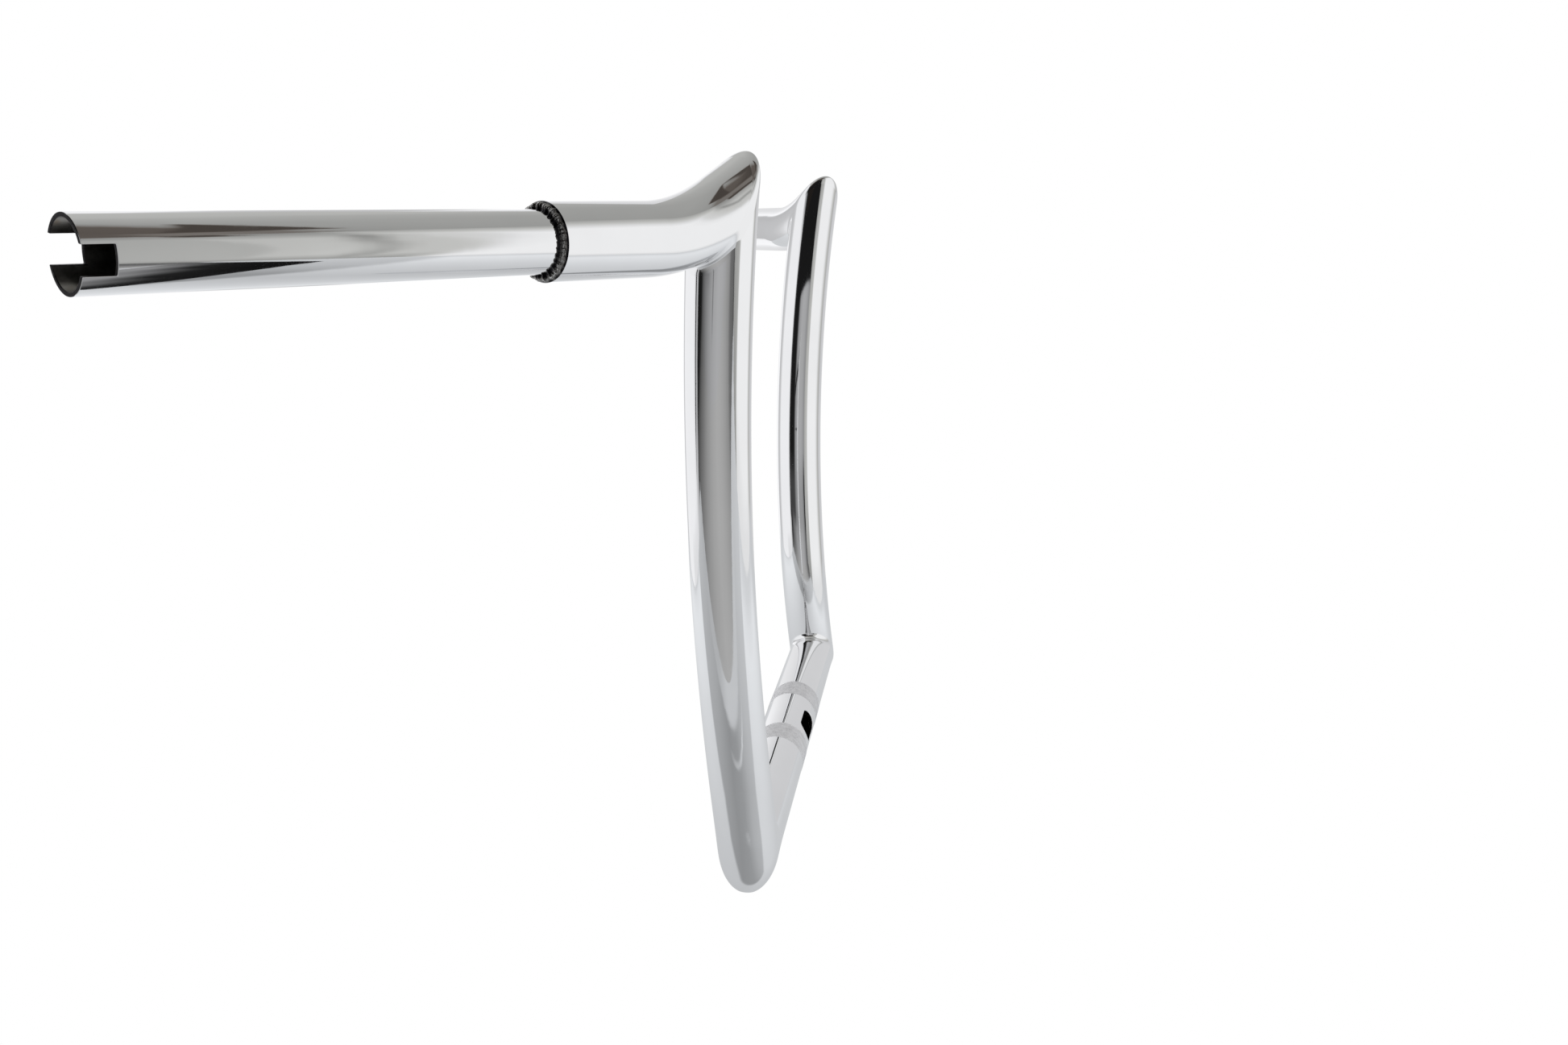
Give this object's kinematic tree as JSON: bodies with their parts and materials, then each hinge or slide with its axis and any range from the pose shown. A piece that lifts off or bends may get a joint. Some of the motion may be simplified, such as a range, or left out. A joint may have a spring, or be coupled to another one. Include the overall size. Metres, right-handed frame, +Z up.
{
  "type": "motorcycle handlebar",
  "caption": "Welded chrome touring handlebar with pointed mitred corners, bowed risers, swept stepped control ends, knurled clamp bands and a wire exit slot.",
  "frame": {"origin": "on the axis of the base tube, midway between the two knurled clamp bands", "axes": "+X along the base tube to the rider's right, +Y forward, +Z up with the control ends level"},
  "size_m": [0.882, 0.1904, 0.363],
  "materials": {
    "chrome_base": "polished chrome plate, with matt rolled knurl in two bands",
    "chrome_riser": "polished chrome plate",
    "chrome_shoulder": "polished chrome plate",
    "chrome_grip": "polished chrome plate, bare steel inside the bore",
    "chrome_weld": "ground flush, polished and plated",
    "raw_weld": "rough as-welded bead, thinly plated"
  },
  "bodies": {
    "root": {"base_tube": "chrome_base", "riser_left": "chrome_riser", "riser_right": "chrome_riser", "shoulder_left": "chrome_shoulder", "shoulder_right": "chrome_shoulder", "grip_left": "chrome_grip", "grip_right": "chrome_grip", "weld_corner_left": "chrome_weld", "weld_corner_right": "chrome_weld", "weld_peak_left": "chrome_weld", "weld_peak_right": "chrome_weld", "weld_step_left": "raw_weld", "weld_step_right": "raw_weld"}
  },
  "joints": []
}
